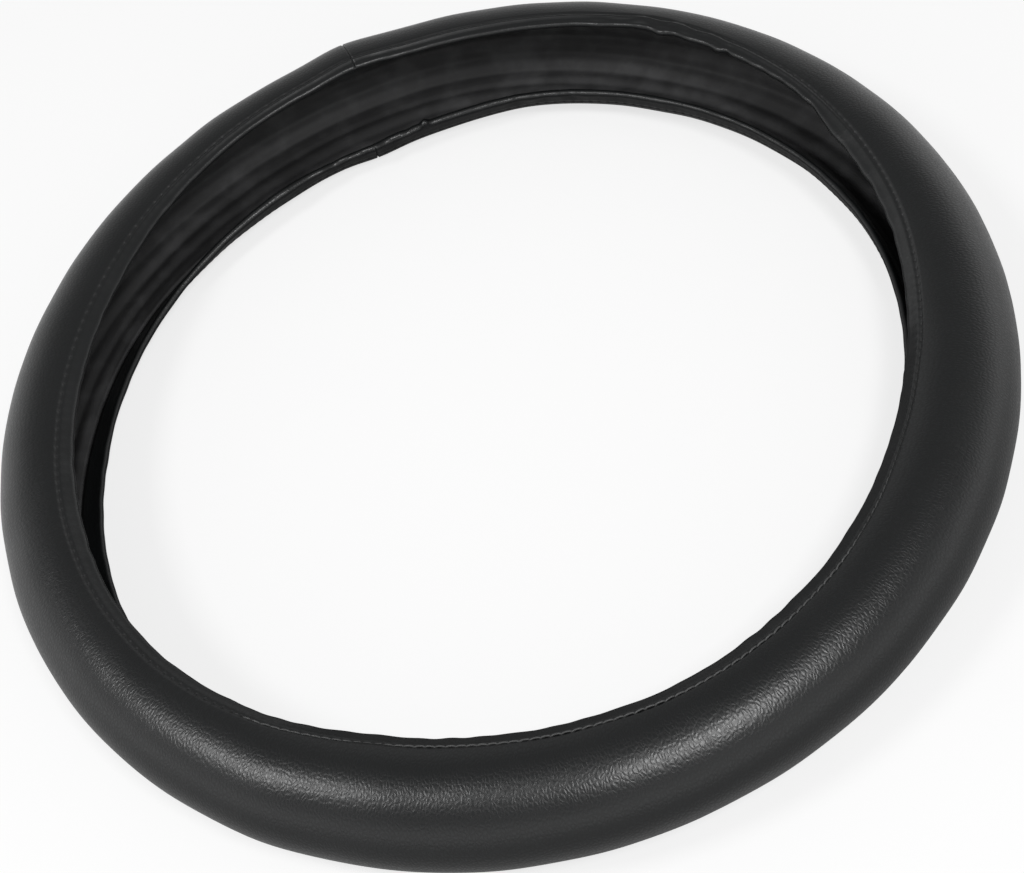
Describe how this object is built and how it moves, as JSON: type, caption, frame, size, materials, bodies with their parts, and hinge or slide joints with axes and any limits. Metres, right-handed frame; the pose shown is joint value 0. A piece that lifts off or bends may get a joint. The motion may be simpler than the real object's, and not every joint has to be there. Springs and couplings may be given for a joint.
{
  "type": "steering wheel cover",
  "caption": "Ring-shaped leather sleeve with a C section, turned and sewn edges and a ribbed rubber liner, which grips a steering wheel rim.",
  "frame": {"origin": "centre of the ring, on the surface that its rear side lies on", "axes": "+Z along the ring's axis, from the rear side to the side that faces the driver; +X to the right"},
  "size_m": [0.38, 0.38, 0.0415],
  "materials": {
    "leather": "fine pebble grain, satin",
    "rubber": "matte moulded rubber",
    "thread": "bonded polyester thread"
  },
  "bodies": {
    "root": {"leather_skin": "leather", "rubber_liner": "rubber", "front_stitching": "thread", "rear_stitching": "thread"}
  },
  "joints": []
}
